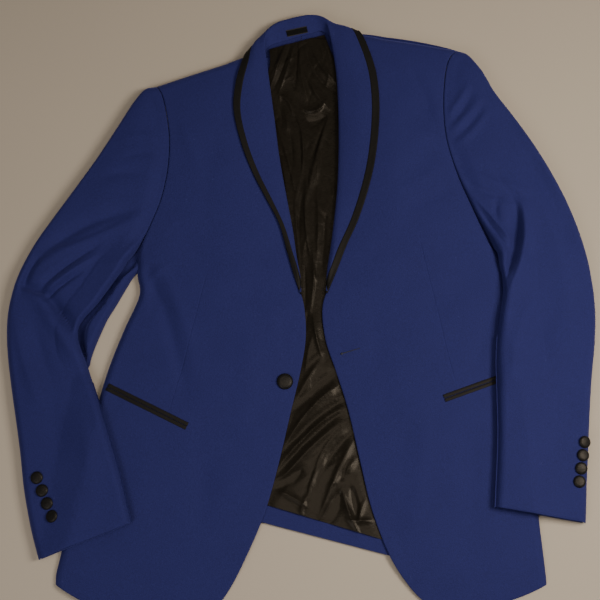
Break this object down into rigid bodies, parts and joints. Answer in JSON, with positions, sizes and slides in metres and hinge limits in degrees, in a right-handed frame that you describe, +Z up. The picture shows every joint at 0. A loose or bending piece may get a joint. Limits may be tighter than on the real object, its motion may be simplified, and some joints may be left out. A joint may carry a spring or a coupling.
{
  "type": "tuxedo jacket",
  "caption": "Shawl-lapel tuxedo jacket in blue wool with black satin edging, laid open and face up, its sleeves over its sides.",
  "frame": {"origin": "middle of the jacket's footprint, on the surface it lies on", "axes": "+Z up out of the surface, +Y from the hem to the neck, +X to the wearer's left"},
  "size_m": [0.811, 0.8569, 0.0339],
  "materials": {
    "blue_wool": "fine royal blue wool twill, matt with a faint sheen",
    "black_satin": "black satin ribbon, soft gloss",
    "button_satin": "black satin drawn over domed buttons",
    "lining_satin": "glossy black-brown lining satin",
    "thread": "dark buttonhole twist"
  },
  "bodies": {
    "root": {"front_right": "blue_wool", "front_left": "blue_wool", "back_right": "blue_wool", "back_left": "blue_wool", "side_right": "blue_wool", "side_left": "blue_wool", "sleeve_top_right": "blue_wool", "sleeve_top_left": "blue_wool", "sleeve_under_right": "blue_wool", "sleeve_under_left": "blue_wool", "shawl_right": "blue_wool", "shawl_left": "blue_wool", "hem_back": "blue_wool", "trim_right": "black_satin", "trim_left": "black_satin", "jet_right_upper": "black_satin", "jet_right_lower": "black_satin", "jet_left_upper": "black_satin", "jet_left_lower": "black_satin", "button_front": "button_satin", "button_cuff_right_1": "button_satin", "button_cuff_right_2": "button_satin", "button_cuff_right_3": "button_satin", "button_cuff_right_4": "button_satin", "button_cuff_left_1": "button_satin", "button_cuff_left_2": "button_satin", "button_cuff_left_3": "button_satin", "button_cuff_left_4": "button_satin", "lining_back": "lining_satin", "neck_label": "lining_satin", "buttonhole": "thread"}
  },
  "joints": []
}
